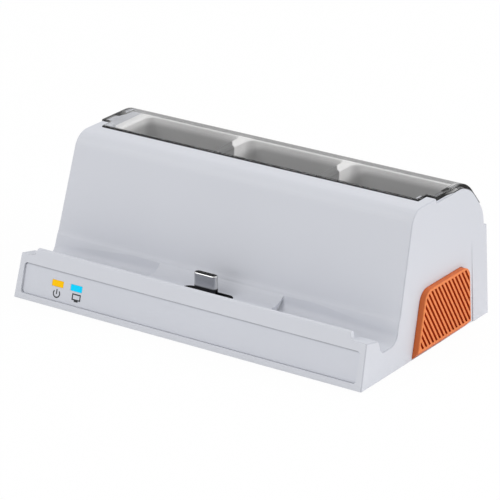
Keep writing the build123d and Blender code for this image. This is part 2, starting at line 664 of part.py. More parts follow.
def make_card_tray():
    """Tray with rounded bays, a flange under the body's front rib and a lug on the rear shelf."""
    half = (BAY_COUNT * BAY_LENGTH + (BAY_COUNT - 1) * DIVIDER) / 2 + TRAY_WALL
    tray = block((-half, half), (TRAY_FRONT, TRAY_REAR), (TRAY_FLOOR - TRAY_WALL, TRAY_TOP))
    tray += across((FLANGE_FRONT, TRAY_REAR), (TRAY_TOP - FLANGE, TRAY_TOP), WALL + SEAM)
    tray = chamfer(tray.edges().sort_by_distance((0, TRAY_REAR, TRAY_TOP))[0], TRAY_BEVEL)
    tray += block((-half, half), (TRAY_REAR, TRAY_REAR + TRAY_LUG), (SHELF, SHELF + FLANGE))
    bay_y = (TRAY_FRONT + TRAY_REAR) / 2
    for index in range(BAY_COUNT):
        x = (index - (BAY_COUNT - 1) / 2) * (BAY_LENGTH + DIVIDER)
        outline = Pos(x, bay_y) * RectangleRounded(BAY_LENGTH, BAY_WIDTH, BAY_ROUND)
        bay = extrude(Plane.XY.offset(TRAY_FLOOR) * outline, amount=TRAY_TOP - TRAY_FLOOR)
        tray -= chamfer(bay.edges().group_by(Axis.Z)[0], BAY_FOOT)
        tray -= extrude(Plane.XY.offset(TRAY_TOP - BAY_RIM) * outline, amount=BAY_RIM, taper=-45)
    tray -= both_ends(post(TRAY_SCREW_X, TRAY_SCREW_Y, 0, TRAY_TOP, SCREW_RADIUS + SEAM))
    return tray


def make_fascia():
    """Grey strip let into the front face, with holes for the two light windows."""
    plate = extrude(FRONT.offset(-FASCIA_SUNK - FASCIA_THICK) * fascia_outline(SEAM), amount=FASCIA_THICK)
    for x in (POWER_X, DISPLAY_X):
        plate -= window(x, SEAM / 2, WINDOW_DEPTH, 0)
    return plate


def make_light_board():
    """Small board behind the fascia, on the housing's two pegs."""
    place = Pos((POWER_X + DISPLAY_X) / 2, LIGHT_BOARD_RISE)
    back = WINDOW_DEPTH + LAMP_GAP + LAMP_THICK + LIGHT_BOARD_THICK
    outline = place * Rectangle(LIGHT_BOARD_LENGTH, LIGHT_BOARD_HEIGHT)
    return extrude(FRONT.offset(-back) * outline, amount=LIGHT_BOARD_THICK)


def make_lamps():
    """One lamp on the light board behind each window."""
    back = WINDOW_DEPTH + LAMP_GAP + LAMP_THICK
    lamps = []
    for x in (POWER_X, DISPLAY_X):
        outline = Pos(x, WINDOW_RISE) * Rectangle(LAMP_LENGTH, LAMP_HEIGHT)
        lamps.append(extrude(FRONT.offset(-back) * outline, amount=LAMP_THICK))
    return Compound(lamps)


def make_side_pad(side):
    """Ribbed pad on an end face: slanted grooves inside a plain rim, bevelled below."""
    pad = extrude(END.offset(-PAD_SUNK) * pad_outline(0, PAD_LOW), amount=PAD_SUNK + PAD_PROUD)
    foot = pad.faces().sort_by(Axis.X)[-1].edges().sort_by(Axis.Z)[0]
    pad = chamfer(foot, PAD_UNDERCUT)
    outer = pad.faces().sort_by(Axis.X)[-1]
    pad = fillet(outer.edges(), PAD_EDGE)
    field = pad_outline(PAD_RIM, PAD_LOW + PAD_UNDERCUT)
    middle = (PAD_LOW + PAD_HIGH) / 2
    spread = (PAD_HIGH - PAD_LOW) * tan(radians(GROOVE_LEAN))
    count = int((PAD_REAR - PAD_FRONT_FOOT + spread) / GROOVE_PITCH)
    for index in range(count):
        y = PAD_FRONT_FOOT - spread / 2 + (index + 0.5) * GROOVE_PITCH
        strip = Pos(y, middle) * Rot(0, 0, GROOVE_LEAN) * Rectangle(GROOVE_WIDTH, REACH)
        groove = field & strip
        if groove and groove.area > GROOVE_WIDTH:
            pad -= extrude(END.offset(PAD_PROUD) * groove, amount=-GROOVE_DEPTH)
    return pad if side > 0 else mirror(pad, Plane.YZ)


def plug_outline(inset):
    """Stadium section of the plug, made smaller by inset all round."""
    return Pos(0, PLUG_Y) * SlotOverall(PLUG_LENGTH - 2 * inset, PLUG_THICK - 2 * inset)


def make_plug_shell():
    """Drawn metal tube with a rounded mouth."""
    tube = extrude(Plane.XY.offset(PLUG_FOOT) * plug_outline(0), amount=PLUG_TIP - PLUG_FOOT)
    tube = fillet(tube.edges().group_by(Axis.Z)[-1], PLUG_TIP_ROUND)
    return tube - extrude(Plane.XY.offset(PLUG_FOOT) * plug_outline(PLUG_SHEET), amount=PLUG_TIP)


def make_plug_liner():
    """Black liner inside the plug, hollow from its mouth."""
    high = PLUG_TIP - LINER_DROP
    liner = extrude(Plane.XY.offset(PLUG_FOOT) * plug_outline(PLUG_SHEET), amount=high - PLUG_FOOT)
    hollow = plug_outline(PLUG_SHEET + LINER_WALL)
    return liner - extrude(Plane.XY.offset(LINER_FLOOR) * hollow, amount=high)


def make_plug_contacts():
    """Two facing rows of contact strips in the liner."""
    face_y = PLUG_THICK / 2 - PLUG_SHEET - LINER_WALL
    high = PLUG_TIP - LINER_DROP - CONTACT_DROP
    strips = []
    for index in range(CONTACT_COUNT):
        x = (index - (CONTACT_COUNT - 1) / 2) * CONTACT_PITCH
        for y_low in (PLUG_Y - face_y, PLUG_Y + face_y - CONTACT_THICK):
            limits = (x - CONTACT_WIDTH / 2, x + CONTACT_WIDTH / 2), (y_low, y_low + CONTACT_THICK)
            strips.append(block(*limits, (LINER_FLOOR, high)))
    return Compound(strips)


def make_plug_carrier():
    """Black rocking holder: a barrel round the pivot on a block that grips the plug."""
    carrier = shaft(PIVOT_AXIS, -BARREL_HALF, BARREL_HALF, BARREL)
    half_x, half_y = CARRIER_LENGTH / 2, CARRIER_THICK / 2
    carrier += block((-half_x, half_x), (PLUG_Y - half_y, PLUG_Y + half_y), (CARRIER_FOOT, CARRIER_TOP))
    carrier -= extrude(Plane.XY.offset(PLUG_FOOT) * plug_outline(0), amount=PLUG_TIP)
    pin_inner = PLUG_LENGTH / 2 + LINER_WALL
    return carrier - both_ends(shaft(PIVOT_AXIS, pin_inner, BARREL_HALF, PIVOT_PIN + PIN_PLAY))


def make_plug_board():
    """Small board under the carrier that the plug's leads are soldered to."""
    half_x, half_y = CARRIER_LENGTH / 2, CARRIER_THICK / 2
    return block(
        (-half_x, half_x), (PLUG_Y - half_y, PLUG_Y + half_y), (CARRIER_FOOT - PLUG_BOARD_THICK, CARRIER_FOOT)
    )


def make_carrier_pins():
    """Pivot pins from the housing's ears into the two ends of the carrier."""
    pin_inner = PLUG_LENGTH / 2 + LINER_WALL + SEAM
    pin = shaft(PIVOT_AXIS, pin_inner, EAR_INNER + EAR_THICK, PIVOT_PIN)
    return Compound([pin, mirror(pin, Plane.YZ)])


def make_carrier_spring():
    """Close-wound return spring round the right pivot pin, with its two legs."""
    bore = PIVOT_PIN + PIN_PLAY + SEAM
    start = BARREL_HALF + SEAM
    half_wire = SPRING_WIRE / 2
    middle = bore + half_wire
    turns = [start + half_wire + turn * SPRING_WIRE for turn in range(SPRING_TURNS)]
    coil = Pos((turns[0] + turns[-1]) / 2, PLUG_Y + middle) * Rectangle(turns[-1] - turns[0], half_wire)
    for x in turns:
        coil += Pos(x, PLUG_Y + middle) * RegularPolygon(half_wire, WIRE_SIDES)
    spring = revolve(Plane.XY.offset(PIVOT_Z) * coil, axis=Axis((0, PLUG_Y, PIVOT_Z), (1, 0, 0)))
    rear_leg = Plane((turns[-1], PLUG_Y, PIVOT_Z + middle), z_dir=(0, 1, 0))
    down_leg = Plane((turns[0], PLUG_Y - middle, PIVOT_Z), z_dir=(0, 0, -1))
    for leg in (rear_leg, down_leg):
        spring += extrude(leg * RegularPolygon(half_wire, WIRE_SIDES), amount=SPRING_LEG)
    return spring


def make_main_board():
    """Circuit board on the base plate's standoffs."""
    board = block(
        (-BOARD_HALF, BOARD_HALF), (BOARD_FRONT, DEPTH - WALL - BOARD_GAP),
        (BOARD_LOW, BOARD_LOW + BOARD_THICK),
    )
    for x in (-STANDOFF_X, STANDOFF_X):
        for y in (STANDOFF_FRONT_Y, STANDOFF_REAR_Y):
            board -= post(x, y, BOARD_LOW, BOARD_LOW + BOARD_THICK, SCREW_RADIUS + SEAM)
    return board


def make_socket_shell(x, size, kind):
    """Folded metal shell of one rear socket, open at its mouth."""
    back = MOUTH - size[2]
    inside = socket_solid(x, size, kind, -SOCKET_SHEET, back + SOCKET_SHEET, MOUTH)
    return socket_solid(x, size, kind, 0, back, MOUTH) - inside


def make_tongue(x, size, kind):
    """Insulating tongue inside one rear socket."""
    width, height, depth = size
    foot = BOARD_LOW + BOARD_THICK
    wide, rise, thick = TONGUE_SHARES[kind]
    half, middle, thick = width * wide / 2, foot + height * rise, height * thick
    y = (MOUTH - depth + SOCKET_SHEET, MOUTH - TONGUE_SHORT)
    return block((x - half, x + half), y, (middle - thick / 2, middle + thick / 2))


def make_chips():
    """Larger chips on the main board."""
    top = BOARD_LOW + BOARD_THICK
    return Compound([
        block((x - side / 2, x + side / 2), (y - side / 2, y + side / 2), (top, top + height))
        for x, y, side, height in CHIPS
    ])


def make_capacitors():
    """Upright capacitors on the main board."""
    top = BOARD_LOW + BOARD_THICK
    can = post(0, 0, top, top + CAPACITOR_HEIGHT, CAPACITOR_RADIUS)
    return Compound([Pos(x, y, 0) * can for x, y in CAPACITORS])


def export_piece(name, shape):
    """Writes one piece, moved so that the origin is on the floor under the middle of the dock."""
    export_step(Pos(0, -DEPTH / 2, FOOT_PROUD) * shape, f"parts/{name}.step")


os.makedirs("parts", exist_ok=True)
export_piece("housing", make_housing())
export_piece("base_plate", make_base_plate())
export_piece("rubber_feet", make_feet())
export_piece("base_screws", make_base_screws())
export_piece("lid", make_lid())
export_piece("left_hinge_pin", make_hinge_pin(-1))
export_piece("right_hinge_pin", make_hinge_pin(1))
export_piece("card_tray", make_card_tray())
export_piece("tray_screws", make_tray_screws())
export_piece("front_fascia", make_fascia())
export_piece("power_light_window", window(POWER_X, 0, WINDOW_DEPTH, FASCIA_SUNK))
export_piece("display_light_window", window(DISPLAY_X, 0, WINDOW_DEPTH, FASCIA_SUNK))
export_piece("light_board", make_light_board())
export_piece("indicator_lights", make_lamps())
export_piece("left_side_pad", make_side_pad(-1))
export_piece("right_side_pad", make_side_pad(1))
export_piece("plug_shell", make_plug_shell())
export_piece("plug_liner", make_plug_liner())
export_piece("plug_contacts", make_plug_contacts())
export_piece("plug_carrier", make_plug_carrier())
export_piece("plug_board", make_plug_board())
export_piece("carrier_pins", make_carrier_pins())
export_piece("carrier_spring", make_carrier_spring())
export_piece("main_board", make_main_board())
export_piece("board_screws", make_board_screws())
export_piece("board_chips", make_chips())
export_piece("board_capacitors", make_capacitors())
for socket_name, kind_name in (("power_socket", "power"), ("video_socket", "video"), ("data_socket", "data")):
    group = [socket for socket in SOCKETS if socket[2] == kind_name]
    export_piece(f"{socket_name}_shell", Compound([make_socket_shell(*socket) for socket in group]))
    export_piece(f"{socket_name}_tongue", Compound([make_tongue(*socket) for socket in group]))
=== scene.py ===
# %% [markdown]
# # A charging dock for a handheld console
#
# The dock's solids come ready made from CAD, with every piece already in its place. This lesson
# dresses them. It sets up the photograph's camera and light, gives each piece smooth shading and a
# finish that is built from nodes, and adds the printed signs and the screws' cross recesses, which
# belong to the surface and not to the solids.
#
# All lengths are in metres. X runs along the dock, Y from its front lip to its rear wall, and Z up.

# %% Load the frame
import json
from math import cos, pi, radians, sin, tan

import bmesh
import bpy
from mathutils import Matrix, Vector


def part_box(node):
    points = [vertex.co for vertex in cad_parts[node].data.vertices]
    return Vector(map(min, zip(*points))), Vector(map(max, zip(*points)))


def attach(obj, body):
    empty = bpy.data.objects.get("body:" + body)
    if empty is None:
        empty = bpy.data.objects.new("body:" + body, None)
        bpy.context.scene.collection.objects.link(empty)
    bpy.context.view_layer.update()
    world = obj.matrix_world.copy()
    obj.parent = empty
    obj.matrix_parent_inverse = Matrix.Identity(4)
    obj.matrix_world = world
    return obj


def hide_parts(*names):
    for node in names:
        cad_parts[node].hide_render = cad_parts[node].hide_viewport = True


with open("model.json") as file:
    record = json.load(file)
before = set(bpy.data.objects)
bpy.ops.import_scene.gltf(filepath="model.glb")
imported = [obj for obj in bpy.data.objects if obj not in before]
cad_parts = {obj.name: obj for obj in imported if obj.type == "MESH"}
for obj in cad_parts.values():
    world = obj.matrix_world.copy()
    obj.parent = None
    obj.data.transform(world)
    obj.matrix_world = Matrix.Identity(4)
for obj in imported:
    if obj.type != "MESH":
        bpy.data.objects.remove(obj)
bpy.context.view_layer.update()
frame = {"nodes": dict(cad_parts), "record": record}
MM = 0.001
scene = bpy.context.scene
scene.view_settings.view_transform = "Standard"

# %% [markdown]
# ## The camera
#
# The photograph was taken from the right, a little above the dock, with a long lens: the lines along
# the dock hardly run together. A camera can be placed by its position, but it is easier to think of a
# point to look at, a distance, and two angles round it, so the position is worked out from those.

# %% Camera
AZIMUTH = radians(34.427)
ELEVATION = radians(21.736)
DISTANCE = 0.9383
LOOK_AT = Vector((0.122, 0.093, 18.552)) * MM
LENS = 219.45  # focal length in mm, on a sensor SENSOR mm wide
SENSOR = 36.0


def place_camera():
    """Camera with the photograph's lens, aimed at LOOK_AT."""
    data = bpy.data.cameras.new("camera")
    data.lens = LENS
    data.sensor_width = SENSOR
    away = Vector((sin(AZIMUTH) * cos(ELEVATION), -cos(AZIMUTH) * cos(ELEVATION), sin(ELEVATION)))
    camera = bpy.data.objects.new("camera", data)
    camera.location = LOOK_AT + away * DISTANCE
    camera.rotation_euler = (-away).to_track_quat("-Z", "Y").to_euler()
    scene.collection.objects.link(camera)
    scene.camera = camera
    return camera


print("camera at", [round(value, 4) for value in place_camera().location])

# %% [markdown]
# ## Light
#
# The dock stands on white, in soft light from all round. The even part of that light comes from the
# world. The background has to look plain white without putting more light on the dock, so the world
# is full white only to rays that show it, which come from the camera, a mirror or clear plastic. To
# the rays that carry its light it is dimmer. The floor needs the same trick, so telling the two kinds
# of ray apart is a helper of its own, made from small helpers that every finish below uses as well.

# %% World
AMBIENT = 0.48


def add_node(tree, kind, **values):
    """New node with its settings and its inputs given by name."""
    node = tree.nodes.new(kind)
    for key, value in values.items():
        if hasattr(node, key):
            setattr(node, key, value)
        else:
            node.inputs[key.replace("_", " ")].default_value = value
    return node


def joined(tree, operation, first, second):
    """Math node on two sockets, or on a socket and a number."""
    node = add_node(tree, "ShaderNodeMath", operation=operation)
    for socket, value in zip(node.inputs, (first, second)):
        if isinstance(value, float):
            socket.default_value = value
        else:
            tree.links.new(value, socket)
    return node.outputs[0]


def ranged(tree, factor, low, high):
    """Value that runs from low to high as a factor runs from 0 to 1."""
    node = add_node(tree, "ShaderNodeMapRange", To_Min=low, To_Max=high)
    tree.links.new(factor, node.inputs["Value"])
    return node.outputs["Result"]


def seen_ray(tree):
    """1 for rays that show the surroundings: from the camera, a mirror or clear plastic."""
    path = add_node(tree, "ShaderNodeLightPath")
    shown = joined(tree, "MAXIMUM", path.outputs["Is Camera Ray"], path.outputs["Is Glossy Ray"])
    return joined(tree, "MAXIMUM", shown, path.outputs["Is Transmission Ray"])


def light_world():
    """Even white world: full white where it is seen, AMBIENT where it lights."""
    world = bpy.data.worlds.new("studio")
    scene.world = world
    world.use_nodes = True
    tree = world.node_tree
    background = tree.nodes["Background"]
    background.inputs["Color"].default_value = (1.0, 1.0, 1.0, 1.0)
    tree.links.new(ranged(tree, seen_ray(tree), AMBIENT, 1.0), background.inputs["Strength"])
    return world


print("world:", light_world().name, "lights with", AMBIENT)

# %% [markdown]
# Four large square lamps give the light its direction. The key lamp stands high at the left front, and
# a weaker one stands low in front, where the lip and the fascia face it. The side lamp at the right
# makes the end wall a little brighter than the front. The rear lamp lights the tray and the lid from
# behind. A lamp that is large for its distance throws a soft shadow, as the photograph has.

# %% Lamps
LAMPS = {  # place, size in metres and power in watts
    "key_lamp": ((-0.9, -1.0, 1.2), 0.8, 7.6),
    "front_lamp": ((-0.5, -1.5, 0.35), 1.0, 4.1),
    "side_lamp": ((1.4, 0.5, 0.8), 1.0, 12.6),
    "rear_lamp": ((0.0, 1.0, 1.3), 1.2, 7.7),
}


def add_lamp(name, place, size, power):
    """Square soft lamp that faces the dock."""
    data = bpy.data.lights.new(name, "AREA")
    data.size = size
    data.energy = power
    lamp = bpy.data.objects.new(name, data)
    lamp.location = place
    lamp.rotation_euler = (LOOK_AT - Vector(place)).to_track_quat("-Z", "Y").to_euler()
    scene.collection.objects.link(lamp)


for lamp_name, (lamp_place, lamp_size, lamp_power) in LAMPS.items():
    add_lamp(lamp_name, lamp_place, lamp_size, lamp_power)
print("lamps:", list(LAMPS))

# %% [markdown]
# ## Floor
#
# The floor is a wide pale sheet, one grid of faces. To the camera it is nearly all plain white, but a
# small share of its real shading stays in, and with it the faint shadow that holds the dock down.

# %% Floor
FLOOR_HALF = 6.0
FLOOR_PALE = (0.9, 0.9, 0.9, 1.0)
FLOOR_ROUGHNESS = 0.9
FLOOR_SHOWN_WHITE = 0.97


def as_object(name, mesh):
    """Object for a finished bmesh."""
    data = bpy.data.meshes.new(name)
    mesh.to_mesh(data)
    mesh.free()
    made = bpy.data.objects.new(name, data)
    scene.collection.objects.link(made)
    return made


def start_material(name):
    """Material with a Principled shader; returns the material, its tree and the shader."""
    material = bpy.data.materials.new(name)
    material.use_nodes = True
    tree = material.node_tree
    return material, tree, tree.nodes["Principled BSDF"]


def mixed(tree, factor, first, second):
    """Mix of two shader sockets, led to the material's surface."""
    mix = add_node(tree, "ShaderNodeMixShader")
    for socket, source in zip(mix.inputs, (factor, first, second)):
        tree.links.new(source, socket)
    tree.links.new(mix.outputs["Shader"], tree.nodes["Material Output"].inputs["Surface"])


def lay_floor():
    """Wide pale floor that keeps a faint shadow."""
    mesh = bmesh.new()
    bmesh.ops.create_grid(mesh, x_segments=2, y_segments=2, size=FLOOR_HALF)
    floor = as_object("floor", mesh)
    material, tree, matt = start_material("floor_white")
    matt.inputs["Base Color"].default_value = FLOOR_PALE
    matt.inputs["Roughness"].default_value = FLOOR_ROUGHNESS
    white = add_node(tree, "ShaderNodeEmission")
    share = joined(tree, "MULTIPLY", seen_ray(tree), FLOOR_SHOWN_WHITE)
    mixed(tree, share, matt.outputs["BSDF"], white.outputs["Emission"])
    floor.data.materials.append(material)
    return floor


print("floor:", lay_floor().name)

# %% [markdown]
# The polished lid is a mirror as well as a window, and seen this flat it mirrors what stands behind the
# dock. Against plain white it would look milky. Photographers put a grey card there, out of the
# picture, and so does this scene. The card lies on the floor behind the dock and then stands up: its
# near edge is extruded twice. Only the lid and other mirrors can see it.

# %% Grey card
CARD_GREY = 0.38
CARD_ENDS = (-2.5, 0.06, 0.002), (1.5, 0.06, 0.002)  # of its near edge
CARD_STEPS = (0.0, 1.14, 0.0), (0.0, 0.0, 0.748)  # back along the floor, then up


def stand_card():
    """Bent grey card behind the dock, seen only in mirrors and through the lid."""
    mesh = bmesh.new()
    edge = mesh.edges.new([mesh.verts.new(end) for end in CARD_ENDS])
    for step in CARD_STEPS:
        made = bmesh.ops.extrude_edge_only(mesh, edges=[edge])["geom"]
        edge = next(item for item in made if isinstance(item, bmesh.types.BMEdge))
        bmesh.ops.translate(mesh, verts=edge.verts, vec=step)
    card = as_object("grey_card", mesh)
    material, tree, _ = start_material("card_grey")
    grey = add_node(tree, "ShaderNodeEmission", Color=(CARD_GREY, CARD_GREY, CARD_GREY, 1.0))
    tree.links.new(grey.outputs["Emission"], tree.nodes["Material Output"].inputs["Surface"])
    card.data.materials.append(material)
    for ray in ("camera", "diffuse", "volume_scatter", "shadow"):
        setattr(card, f"visible_{ray}", False)
    return card


print("card faces:", len(stand_card().data.polygons), "grey", CARD_GREY)

# %% [markdown]
# ## Finishes
#
# Moulded plastic is never quite even: its tool leaves a fine matt grain, and the colour drifts a little
# over the piece. Both are noise at very different scales. They are built once as a node group that
# gives a height for the bump, a tone for the colour and a speckle for the roughness, and every plastic
# and rubber places the group with its own values.

# %% Grain group
GRAIN_SCALE = 3000.0  # per metre, so that a grain is about a third of a millimetre
DRIFT_SCALE = 18.0
NOISE_ROUGHNESS = 0.6


def make_grain_group():
    """Height and speckle of a fine moulded grain, and a slow drift of tone, from Object coordinates."""
    group = bpy.data.node_groups.new("moulded_grain", "ShaderNodeTree")
    sockets = group.interface
    for name, value in (("Grain Scale", GRAIN_SCALE), ("Drift Scale", DRIFT_SCALE)):
        sockets.new_socket(name, in_out="INPUT", socket_type="NodeSocketFloat").default_value = value
    for name in ("Height", "Tone", "Speckle"):
        sockets.new_socket(name, in_out="OUTPUT", socket_type="NodeSocketFloat")
    entry = group.nodes.new("NodeGroupInput")
    leave = group.nodes.new("NodeGroupOutput")
    place = group.nodes.new("ShaderNodeTexCoord")
    for source, target, detail in (("Grain Scale", "Height", 3.0), ("Drift Scale", "Tone", 2.0)):
        noise = add_node(group, "ShaderNodeTexNoise", Detail=detail, Roughness=NOISE_ROUGHNESS)
        group.links.new(place.outputs["Object"], noise.inputs["Vector"])
        group.links.new(entry.outputs[source], noise.inputs["Scale"])
        group.links.new(noise.outputs["Fac"], leave.inputs[target])
    cells = add_node(group, "ShaderNodeTexVoronoi", feature="F1")
    group.links.new(place.outputs["Object"], cells.inputs["Vector"])
    group.links.new(entry.outputs["Grain Scale"], cells.inputs["Scale"])
    group.links.new(cells.outputs["Distance"], leave.inputs["Speckle"])
    return group


GRAIN = make_grain_group()
print("group outputs:", [item.name for item in GRAIN.interface.items_tree if item.in_out == "OUTPUT"])

# %% [markdown]
# One recipe serves every plastic and rubber: the tone moves the colour, the speckle moves the
# roughness, and the height gives the bump. A piece that has more than one colour gives the recipe
# layers, and each layer is a colour with the mask where it takes over. The simple plastics come first.

# %% Plastic and rubber
GRAIN_DEPTH = 0.004 * MM
GRAIN_ROUGHNESS = 0.05  # how far the grain moves the roughness


def drifting(tree, factor, dark, light):
    """Colour that drifts between two tones with a factor."""
    mix = add_node(tree, "ShaderNodeMix", data_type="RGBA")
    mix.inputs["A"].default_value = (*dark, 1.0)
    mix.inputs["B"].default_value = (*light, 1.0)
    tree.links.new(factor, mix.inputs["Factor"])
    return mix.outputs["Result"]


def covered(tree, colour, other, mask):
    """A colour socket with another colour over it where a mask is 1."""
    blend = add_node(tree, "ShaderNodeMix", data_type="RGBA")
    blend.inputs["B"].default_value = (*other, 1.0)
    tree.links.new(colour, blend.inputs["A"])
    tree.links.new(mask, blend.inputs["Factor"])
    return blend.outputs["Result"]


def moulded(name, colour, roughness, grain=GRAIN_SCALE, drift=0.025, specular=0.5, layers=()):
    """Grained plastic or rubber: tone drift in its colour, grain in its roughness and bump.

    layers are more colours, each with a function that gives the mask where it takes over.
    """
    material, tree, shader = start_material(name)
    shader.inputs["Specular IOR Level"].default_value = specular
    grain_node = add_node(tree, "ShaderNodeGroup", node_tree=GRAIN)
    grain_node.inputs["Grain Scale"].default_value = grain
    dark = [channel * (1.0 - drift) for channel in colour]
    light = [min(channel * (1.0 + drift), 1.0) for channel in colour]
    tone = drifting(tree, grain_node.outputs["Tone"], dark, light)
    for other, mask in layers:
        tone = covered(tree, tone, other, mask(tree))
    tree.links.new(tone, shader.inputs["Base Color"])
    smoothest, roughest = roughness - GRAIN_ROUGHNESS, roughness + GRAIN_ROUGHNESS
    rough = ranged(tree, grain_node.outputs["Speckle"], smoothest, roughest)
    tree.links.new(rough, shader.inputs["Roughness"])
    bump = add_node(tree, "ShaderNodeBump", Strength=1.0, Distance=GRAIN_DEPTH)
    tree.links.new(grain_node.outputs["Height"], bump.inputs["Height"])
    tree.links.new(bump.outputs["Normal"], shader.inputs["Normal"])
    return material


finishes = {
    "base_plastic": moulded("base_plastic", (0.56, 0.57, 0.61), 0.55),
    "foot_rubber": moulded("foot_rubber", (0.035, 0.035, 0.038), 0.75, grain=1500.0, drift=0.1),
    "black_plastic": moulded("black_plastic", (0.012, 0.012, 0.013), 0.5, drift=0.1, specular=0.2),
    "chip_black": moulded("chip_black", (0.018, 0.018, 0.02), 0.6, drift=0.1),
    "board_green": moulded("board_green", (0.015, 0.09, 0.045), 0.35, grain=1200.0, drift=0.15),
    "lamp_lens": moulded("lamp_lens", (0.85, 0.85, 0.8), 0.2),
}
print("plastics:", list(finishes))

# %% [markdown]
# The white body and the orange pads have layers whose masks follow their faces. The narrow bevels round
# the body's end faces get painted shade, a darker white, and the walls of the slot that the plug stands
# in are painted near black. The pads get painted shade in the grooves between their ribs, and their
# outer sides get part of that darker colour. All three masks are values that are painted on the faces
# further down, when the pieces are made, and read here by name as attributes.

# %% Body white and ribbed rubber
WHITE = (0.635, 0.65, 0.70)
# painted shade on the narrow bevels round the end faces
BEVEL_SHADE_WHITE = (0.53, 0.545, 0.595)
# painted near black on the walls of the plug's slot, and on the plug's foot
SLOT_BLACK = (0.03, 0.03, 0.032)
RIB_ORANGE = (0.80, 0.23, 0.07)
# painted shade in the pads' grooves; their outer sides get part of this darker colour
GROOVE_SHADE_ORANGE = (0.54, 0.064, 0.004)


def painted(name):
    """Function that gives the mask painted on a piece's faces under a name."""
    return lambda tree: add_node(tree, "ShaderNodeAttribute", attribute_name=name).outputs["Fac"]


# painted shade on the end bevels, and near black painted on the slot's walls
body_layers = [(BEVEL_SHADE_WHITE, painted("edge")), (SLOT_BLACK, painted("slot"))]
finishes["white_plastic"] = moulded("white_plastic", WHITE, 0.5, layers=body_layers)
pad_layers = [(GROOVE_SHADE_ORANGE, painted("groove"))]
finishes["orange_rubber"] = moulded(
    "orange_rubber", RIB_ORANGE, 0.6, grain=2200.0, drift=0.04, specular=0.3, layers=pad_layers
)
print("layers:", len(body_layers), "on the body,", len(pad_layers), "on the pads")

# %% [markdown]
# Other masks follow a place on the piece, and those are worked out from its coordinates. The fascia is
# let into the front face, so that its top edge lies in shade. The shade is a narrow darker band along
# that edge, which fades out down the face.

# %% Fascia
FASCIA_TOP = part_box("front_fascia")[1].z
FASCIA_BAND = 0.55 * MM  # height of the shaded band
FASCIA_GREY = (0.625, 0.642, 0.697)
FASCIA_SHADE = (0.4, 0.41, 0.45)


def axes(tree):
    """The X, Y and Z sockets of the Object coordinates."""
    place = add_node(tree, "ShaderNodeTexCoord")
    split = add_node(tree, "ShaderNodeSeparateXYZ")
    tree.links.new(place.outputs["Object"], split.inputs["Vector"])
    return list(split.outputs)


def eased(tree, value, start, end):
    """0 to 1, with soft ends, as a value runs from start to end."""
    node = add_node(tree, "ShaderNodeMapRange", interpolation_type="SMOOTHSTEP")
    node.inputs["From Min"].default_value = start
    node.inputs["From Max"].default_value = end
    tree.links.new(value, node.inputs["Value"])
    return node.outputs["Result"]


def under_edge(tree):
    """1 at the fascia's top edge, fading out down its face."""
    return eased(tree, axes(tree)[2], FASCIA_TOP - FASCIA_BAND, FASCIA_TOP)


fascia_layers = [(FASCIA_SHADE, under_edge)]
finishes["fascia_grey"] = moulded("fascia_grey", FASCIA_GREY, 0.55, layers=fascia_layers)
print("fascia's top edge at", round(FASCIA_TOP / MM, 2), "mm")

# %% [markdown]
# The storage tray is white, but its bays look dark grey through the lid, as they lie in shade. That
# shade is painted on as a darker colour. On the real tray that may be shade or a flocked lining. Here
# it is a lining, given as a colour. It starts a little below the rim, thins out upwards, and stops
# short of the curved ends of each bay, where white shows, except at the tray's outer ends. The three
# bays are alike, so the mask folds X back into one bay first.

# %% Painted shade of the bays
TRAY_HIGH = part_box("card_tray")[1]
BAY_COUNT = 3
BODY_OVER = 11.3 * MM  # how much longer the body is than its bays, each with a divider
BAY_PITCH = (2.0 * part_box("housing")[1].x - BODY_OVER) / BAY_COUNT
DIVIDER_HALF = 1.0 * MM  # about half of the flat top of a divider
BAY_END = BAY_PITCH / 2 - DIVIDER_HALF  # from the middle of a bay to its end
SHADE_DEPTHS = 1.0 * MM, 3.6 * MM  # below the rim, where the painted shade starts and where it is full
SHADE_RIGHT = BAY_END - 2.4 * MM
SHADE_LEFT = 4.0 * MM - BAY_END, 9.5 * MM - BAY_END
LEFT_LEAN = 1.3  # how far the left edge moves out for each unit of depth
SHADE_SHARE = 0.68  # of the painted shade's colour inside the bays
OUTER_ENDS = TRAY_HIGH.x - 14.0 * MM, TRAY_HIGH.x - 10.0 * MM  # past them, the bays' painted shade reaches the end
CRISP = 0.3 * MM


def folded(tree, value, pitch):
    """A value brought back, pitch by pitch, to within half a pitch of zero."""
    node = add_node(tree, "ShaderNodeMath", operation="WRAP")
    node.inputs[1].default_value = pitch / 2
    node.inputs[2].default_value = -pitch / 2
    tree.links.new(value, node.inputs[0])
    return node.outputs[0]


def shaded_bays(tree, x, depth):
    """Mask of the painted shade in the bays."""
    from_bay = folded(tree, x, BAY_PITCH)
    lean = joined(tree, "MULTIPLY", depth, LEFT_LEAN)
    left = eased(tree, joined(tree, "ADD", from_bay, lean), *SHADE_LEFT)
    right = eased(tree, from_bay, SHADE_RIGHT + CRISP, SHADE_RIGHT - CRISP)
    outer = eased(tree, joined(tree, "ABSOLUTE", x, 0.0), *OUTER_ENDS)
    along = joined(tree, "MAXIMUM", joined(tree, "MULTIPLY", left, right), outer)
    down = joined(tree, "MULTIPLY", eased(tree, depth, *SHADE_DEPTHS), SHADE_SHARE)
    return joined(tree, "MULTIPLY", along, down)


# the bays' painted shade starts this far below the rim
print("bay pitch", round(BAY_PITCH / MM, 2), "mm, lined from", round(SHADE_DEPTHS[0] / MM, 2), "mm down")

# %% [markdown]
# The white of each divider ends about half-way to the front, so on the real tray the dividers are
# probably short ribs on the rear wall. Those of the solid run right across, and the bays' painted shade
# covers their front halves instead. The line where the white starts runs at a slant across a divider,
# so that it stands upright in the photograph. The rims at the two ends of the tray stay white. The
# shaded tops catch more light than the bays, so they get a darker painted shade of their own. Both
# masks come from one group.

